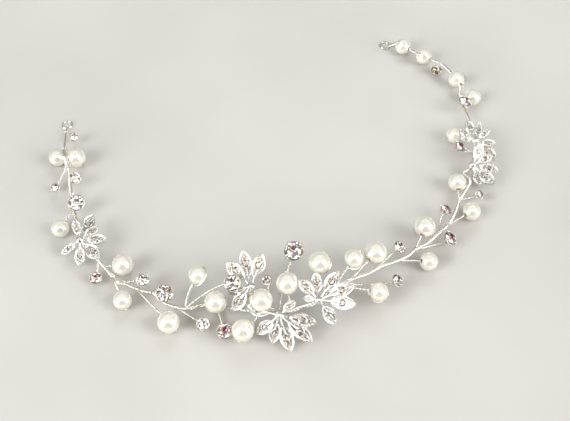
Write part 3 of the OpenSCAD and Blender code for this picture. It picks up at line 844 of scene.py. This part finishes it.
def addLeaflet(stock, hub, tip, top):
    size, x, y, z, middle = leafFrame(hub, tip, top)
    half, w = size["l"] / 2, size["w"]
    arcR = (size["l"] ** 2 + w ** 2) / (4 * w)
    # a ring of points for each station: outer wall, rounded rim, floor with a low midrib, and the
    # same back, then the underside
    points, n = [], leaf["stations"]
    for i in range(n + 1):
        u = -1 + 2 * i / n
        px = half * math.sin(u * math.pi / 2)
        h = max(math.sqrt(max(arcR ** 2 - px ** 2, 0)) - arcR + w / 2, 0.03)
        rim = min(size["rim"], 0.62 * h)
        lift = 0.05 * (1 - (px / half) ** 2)
        across = [(-h, -0.28), (-h, 0.12), (-h + 0.10 * rim, 0.30), (-h + 0.32 * rim, 0.40),
                  (-h + 0.6 * rim, 0.40), (-h + 0.86 * rim, 0.28), (-h + rim, 0.12),
                  (-h + 1.2 * rim, 0.05), (-0.12 * h, 0.03), (-0.06 * h, 0.1)]
        across += [(-b, c) for b, c in across[::-1]]
        across += [(0.8 * h, -0.4), (0.3 * h, -0.44), (-0.3 * h, -0.44), (-0.8 * h, -0.4)]
        points += [middle + x * px + y * b + z * (c + lift * (1 if c > 0 else 0)) for b, c in across]
    m = len(across)
    faces = [(i * m + k, i * m + (k + 1) % m, (i + 1) * m + (k + 1) % m, (i + 1) * m + k)
             for i in range(n) for k in range(m)]
    onFloor = range(7, 12)
    metals = [2 if k in onFloor else 0 for i in range(n) for k in range(m)] + [0, 0]
    faces.append(tuple(range(m - 1, -1, -1)))
    faces.append(tuple(n * m + k for k in range(m)))
    stock.append((np.array(points), [f[::-1] for f in faces], True, metals))
    # stalk from the hub to the blade
    root = size["reach"] - size["l"]
    stalk = [hub + x * 0.4, hub + x * (0.5 * root + 0.3) - z * 0.05, hub + x * (root + 1.1) - z * 0.1]
    addTube(stock, rounded(stalk, 4), np.linspace(0.46, 0.3, 9), 10, flat=0.8)
    # a collar, a dark foil and prongs round each stone, and rows of beads between them
    for d, at in ((size["main"], 0.0), (size["small"], size["smallX"])):
        seat = middle + x * at + z * leaf["floorZ"]
        girdle = 0.12 * d
        wall = 0.1 * d
        collar = [(d / 2 - 0.02, 0.02), (d / 2 + wall, 0.0), (d / 2 + wall, girdle * 0.7),
                  (d / 2 + wall * 0.6, girdle + 0.03), (d / 2, girdle + 0.02),
                  (d / 2 - 0.04, girdle - 0.03)]
        addLathe(stock, collar, seat, z, 24, closed=True, material=0)
        foil = [(0, 0.0), (d / 2, 0.0), (d / 2, girdle - 0.02), (0.3 * d, 0.035), (0, 0.02)]
        addLathe(stock, foil, seat, z, 16, smooth=False, material=1)
        for k in range(leaf["prongs"]):
            a = 2 * math.pi * (k + 0.5) / leaf["prongs"]
            out = math.cos(a) * x + math.sin(a) * y
            prong = seat + out * (d / 2 + 0.03) + z * (girdle + 0.05 * d)
            addBall(stock, prong, 0.085 * d + 0.03, z, 8, 5)
    for side in (-1, 1):
        for k in range(leaf["beads"]):
            u = -0.78 + 1.5 * k / (leaf["beads"] - 1)
            px = half * u
            h = math.sqrt(max(arcR ** 2 - px ** 2, 0)) - arcR + w / 2
            py = max(h - size["rim"] * 1.5, 0.1)
            clear = min(math.hypot(px, py) - size["main"] / 2,
                        math.hypot(px - size["smallX"], py) - size["small"] / 2)
            if clear > leaf["beadClear"]:
                bead = middle + x * px + y * side * py + z * (leaf["floorZ"] + 0.08)
                addBall(stock, bead, leaf["beadR"], z, 7, 5)


for number, s in enumerate(sprigTable, 1):
    stock = []
    hub, top = np.array(s[0], float), facing(s[1][0], s[1][1])
    r = leaf["hubR"]
    addLathe(stock, [(0, -r), (0.5 * r, -0.86 * r), (0.86 * r, -0.5 * r), (r, -0.1 * r), (r, 0.1 * r),
                     (0.88 * r, 0.42 * r), (0.74 * r, 0.62 * r), (0.66 * r, 0.64 * r), (0.6 * r, 0.72 * r),
                     (0.34 * r, 0.93 * r), (0, r)], hub, top, 28)
    for tip in s[2]:
        addLeaflet(stock, hub, np.array(tip, float), top)
    makePiece(f"leafSprig{number}", stock, [castMetal, foilMetal, bladeMetal],
              [f"leaf_sprig_{number}"])
for name, (_, sprigs) in pieceGroups.items():
    stock = []
    for i in sprigs:
        hub, top = np.array(sprigTable[i][0], float), facing(*sprigTable[i][1][:2])
        for tip in sprigTable[i][2]:
            size, x, _, z, middle = leafFrame(hub, np.array(tip, float), top)
            for d, at in ((size["main"], 0.0), (size["small"], size["smallX"])):
                seat = middle + x * at + z * (leaf["floorZ"] + 0.12 * d)
                addBrilliant(stock, seat, z, d, leafCut, towards=x)
    makePiece(f"leafStones_{name}", stock, [cutCrystal], [f"leaf_stones_{name}"])
print("leaf sprigs cast")


# ---- floor, light and camera

stage = {"floorSide": 8.0, "floorColor": (0.57, 0.557, 0.535, 1), "floorShade": (0.51, 0.497, 0.475, 1),
         "roomStops": [(0.0, (0.24, 0.225, 0.20, 1)), (0.3, (0.26, 0.25, 0.23, 1)),
                       (0.62, (0.30, 0.30, 0.29, 1)), (0.8, (0.62, 0.62, 0.61, 1)),
                       (1.0, (0.34, 0.34, 0.34, 1))],
         "darkTowards": (0.0, -0.93, 0.36), "darkEdge": (0.5, 0.88),
         "darkColor": (0.035, 0.022, 0.012, 1),
         # name, direction, distance, width, height, power, colour, shown in reflections
         "lamps": [("leftWindow", (-0.75, -0.44, 0.47), 1.3, 0.85, 1.0, 17.5, (1.0, 1.0, 0.99)),
                   ("rightWindow", (0.76, -0.40, 0.48), 1.3, 0.75, 1.0, 16.0, (1.0, 1.0, 1.0)),
                   ("backWindow", (0.15, 0.72, 0.68), 1.2, 0.8, 0.4, 4.2, (0.97, 0.99, 1.0), False),
                   ("warmLamp", (0.0, -0.40, 0.92), 1.2, 0.10, 0.34, 1.4, (1.0, 0.84, 0.6))]}


def buildFloor():
    side = stage["floorSide"] / 2
    mesh = bpy.data.meshes.new("floor")
    mesh.from_pydata([(-side, -side, 0), (side, -side, 0), (side, side, 0), (-side, side, 0)], [],
                     [(0, 1, 2, 3)])
    floor = bpy.data.objects.new("floor", mesh)
    bpy.context.scene.collection.objects.link(floor)
    mesh.materials.append(newMaterial(
        "paleFloor", {"Specular IOR Level": 0.3},
        {"Scale": 40.0, "Roughness": 0.6, "Spread": 0.1},
        {"Scale": 14.0, "First": stage["floorColor"], "Second": stage["floorShade"],
         "From": 0.3, "To": 0.75}, None)[0])


def addSoftbox(name, towards, distance, width, height, power, color, mirrored=True):
    data = bpy.data.lights.new(name, "AREA")
    data.shape, data.size, data.size_y = "RECTANGLE", width, height
    data.energy, data.color = power, color
    lamp = bpy.data.objects.new(name, data)
    lamp.location = Vector(unit(towards)) * distance
    lamp.rotation_mode = "QUATERNION"
    lamp.rotation_quaternion = Vector(-unit(towards)).to_track_quat("-Z", "Y")
    lamp.visible_camera = False
    lamp.visible_glossy = mirrored
    bpy.context.scene.collection.objects.link(lamp)


def buildWorld():
    # a dim room: dark and warm low in front, paler overhead
    world = bpy.data.worlds.new("studio")
    bpy.context.scene.world = world
    world.use_nodes = True
    nodes, links = world.node_tree.nodes, world.node_tree.links
    place = nodes.new("ShaderNodeTexCoord")
    split = nodes.new("ShaderNodeSeparateXYZ")
    height = nodes.new("ShaderNodeValToRGB")
    links.new(place.outputs["Generated"], split.inputs[0])
    links.new(split.outputs["Z"], height.inputs["Fac"])
    setStops(height.color_ramp, stage["roomStops"])
    front = nodes.new("ShaderNodeVectorMath")
    front.operation = "DOT_PRODUCT"
    front.inputs[1].default_value = stage["darkTowards"]
    links.new(place.outputs["Generated"], front.inputs[0])
    edge = nodes.new("ShaderNodeMapRange")
    edge.interpolation_type = "SMOOTHSTEP"
    edge.inputs["From Min"].default_value, edge.inputs["From Max"].default_value = stage["darkEdge"]
    links.new(front.outputs["Value"], edge.inputs["Value"])
    mix = nodes.new("ShaderNodeMix")
    mix.data_type = "RGBA"
    links.new(edge.outputs["Result"], mix.inputs["Factor"])
    links.new(height.outputs["Color"], mix.inputs["A"])
    mix.inputs["B"].default_value = stage["darkColor"]
    links.new(mix.outputs["Result"], nodes["Background"].inputs["Color"])


def setStops(ramp, stops):
    ramp.elements[0].position, ramp.elements[0].color = stops[0]
    ramp.elements[1].position, ramp.elements[1].color = stops[-1]
    for position, color in stops[1:-1]:
        ramp.elements.new(position).color = color


def buildCamera():
    # solved from the corners of the tile that the vine lies on
    view = {"elevation": 52.85, "roll": -3.2, "distance": 0.303, "target": (0.0039, -0.01935, 0.0098),
            "lens": 60.06}
    data = bpy.data.cameras.new("camera")
    data.sensor_width, data.lens, data.clip_start, data.clip_end = 36, view["lens"], 0.01, 20
    camera = bpy.data.objects.new("camera", data)
    e, roll = math.radians(view["elevation"]), math.radians(view["roll"])
    back = np.array([0, -math.cos(e), math.sin(e)])
    right = np.array([1.0, 0, 0])
    up = np.cross(back, right)
    turnedRight = math.cos(roll) * right + math.sin(roll) * up
    turnedUp = -math.sin(roll) * right + math.cos(roll) * up
    rows = Matrix([[turnedRight[i], turnedUp[i], back[i]] for i in range(3)])
    camera.rotation_mode = "QUATERNION"
    camera.rotation_quaternion = rows.to_quaternion()
    camera.location = Vector(view["target"]) + Vector(back) * view["distance"]
    bpy.context.scene.collection.objects.link(camera)
    bpy.context.scene.camera = camera


buildFloor()
buildWorld()
for lamp in stage["lamps"]:
    addSoftbox(*lamp)
buildCamera()
bpy.context.scene.view_settings.view_transform = "Standard"
print("stage set")
